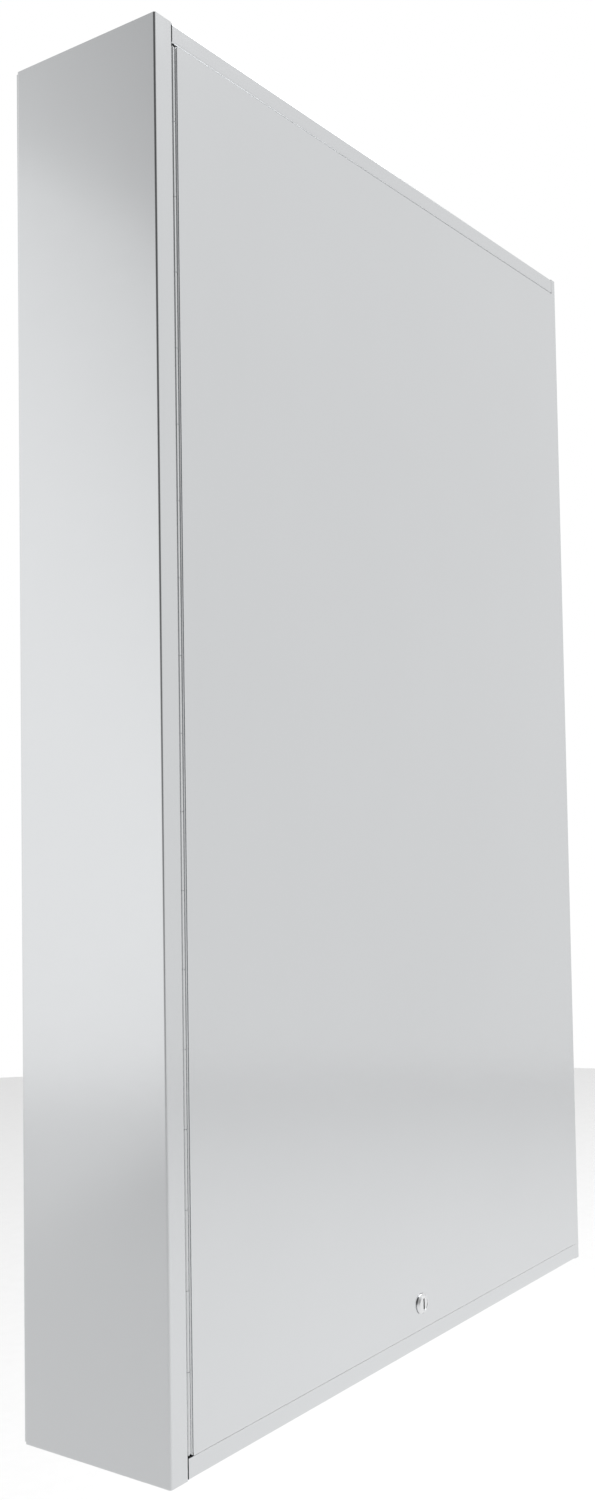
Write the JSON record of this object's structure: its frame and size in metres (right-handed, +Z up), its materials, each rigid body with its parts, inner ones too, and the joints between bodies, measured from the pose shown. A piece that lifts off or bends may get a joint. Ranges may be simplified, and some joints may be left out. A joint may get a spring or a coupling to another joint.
{
  "type": "medicine cabinet with mirror",
  "caption": "Wall-mounted steel medicine cabinet with a full-face mirror door on a continuous hinge, a keyed cam lock, slotted shelf standards and adjustable glass shelves.",
  "frame": {"origin": "centre of the cabinet's back face, on the wall, in the middle of the four fixing holes", "axes": "+X to the right as seen from in front, +Y into the wall, +Z up; the mirror faces -Y"},
  "size_m": [0.6, 0.1331, 0.95],
  "materials": {
    "satin_steel": "satin",
    "mirror_steel": "polished",
    "hinge_steel": "satin",
    "zinc_steel": "zinc plated",
    "shelf_glass": "clear",
    "buffer_rubber": "matte",
    "lock_chrome": "polished",
    "rivet_metal": "satin"
  },
  "bodies": {
    "cabinet": {"side_panel_hinge": "satin_steel", "side_panel_free": "satin_steel", "top_panel": "satin_steel", "bottom_panel": "satin_steel", "back_panel": "satin_steel", "standard_hinge_front": "zinc_steel", "standard_hinge_rear": "zinc_steel", "standard_free_front": "zinc_steel", "standard_free_rear": "zinc_steel", "shelf_1": "shelf_glass", "shelf_2": "shelf_glass", "shelf_3": "shelf_glass", "shelf_4": "shelf_glass", "shelf_clips": "zinc_steel", "hinge_leaf_frame": "hinge_steel", "hinge_pin": "hinge_steel", "hinge_rivets_frame": "rivet_metal", "door_bumpers": "buffer_rubber"},
    "door": {"mirror_panel": "mirror_steel", "door_pan": "satin_steel", "door_liner": "satin_steel", "door_stiffener_hinge": "zinc_steel", "door_stiffener_free": "zinc_steel", "liner_rivets": "rivet_metal", "hinge_leaf_door": "hinge_steel", "hinge_rivets_door": "rivet_metal", "lock_body": "lock_chrome", "lock_washer": "zinc_steel", "lock_nut": "zinc_steel"},
    "lock_cylinder": {"lock_plug": "lock_chrome", "lock_cam": "zinc_steel", "lock_cam_screw": "zinc_steel"}
  },
  "joints": [
    {"name": "door_hinge", "type": "hinge", "parent": "cabinet", "child": "door", "pos_m": [-0.281, -0.1286, 0], "axis": [0, 0, -1], "range_deg": [0, 110]},
    {"name": "lock_turn", "type": "hinge", "parent": "door", "child": "lock_cylinder", "pos_m": [0.0058, -0.13, -0.441], "axis": [0, 1, 0], "range_deg": [0, 90]}
  ]
}
